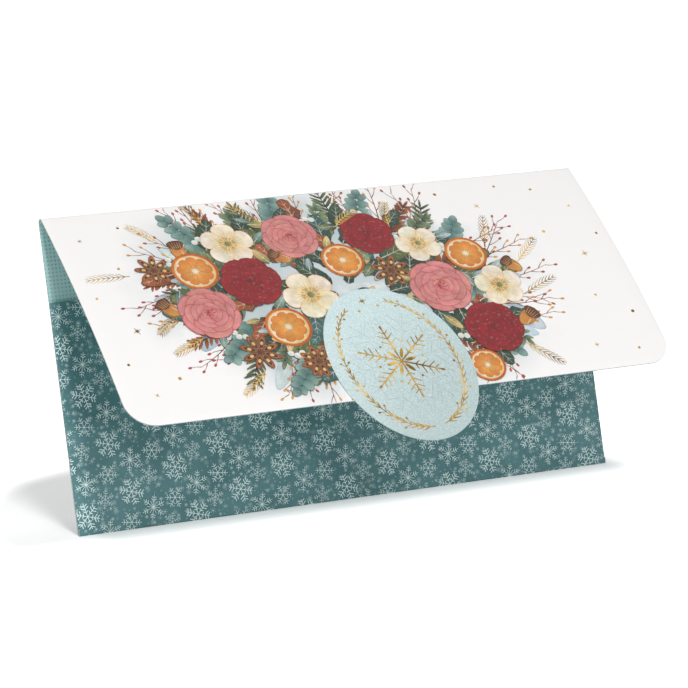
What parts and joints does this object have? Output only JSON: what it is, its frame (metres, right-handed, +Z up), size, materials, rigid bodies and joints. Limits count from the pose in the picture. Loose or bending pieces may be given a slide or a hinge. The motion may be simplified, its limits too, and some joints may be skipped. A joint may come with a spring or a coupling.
{
  "type": "gift card holder",
  "caption": "Folded card holder for a gift card or banknotes: flat pocket, creased flap with an oval tag, standing half open.",
  "frame": {"origin": "middle of the flat underside of the bottom fold, on the table", "axes": "+X along the folds towards the holder's left as it faces away, so to the right seen from the front; -Y out of the front; +Z up"},
  "size_m": [0.185, 0.0773, 0.0949],
  "materials": {
    "outer_print_card": "satin printed card, deep teal with pale snowflakes",
    "inner_print_card": "matt printed card, pale mint with fine dots",
    "flap_card": "satin white card with a printed festive design and gold foil",
    "tag_card": "pearlescent embossed mint card with gold foil",
    "adhesive": "clear tacky film"
  },
  "bodies": {
    "pocket": {"back_panel": "inner_print_card", "bottom_fold": "outer_print_card", "front_pocket": "outer_print_card", "left_side_tab": "outer_print_card", "right_side_tab": "outer_print_card", "left_glue_strip": "adhesive", "right_glue_strip": "adhesive", "top_crease": "flap_card"},
    "flap": {"flap": "flap_card", "tag_glue_patch": "adhesive", "oval_tag": "tag_card"}
  },
  "joints": [
    {"name": "flap_hinge", "type": "hinge", "parent": "pocket", "child": "flap", "pos_m": [0, 0.01895, 0.09326], "axis": [-1, 0, 0], "range_deg": [-36.5, 136], "deforming": ["top_crease"]}
  ]
}
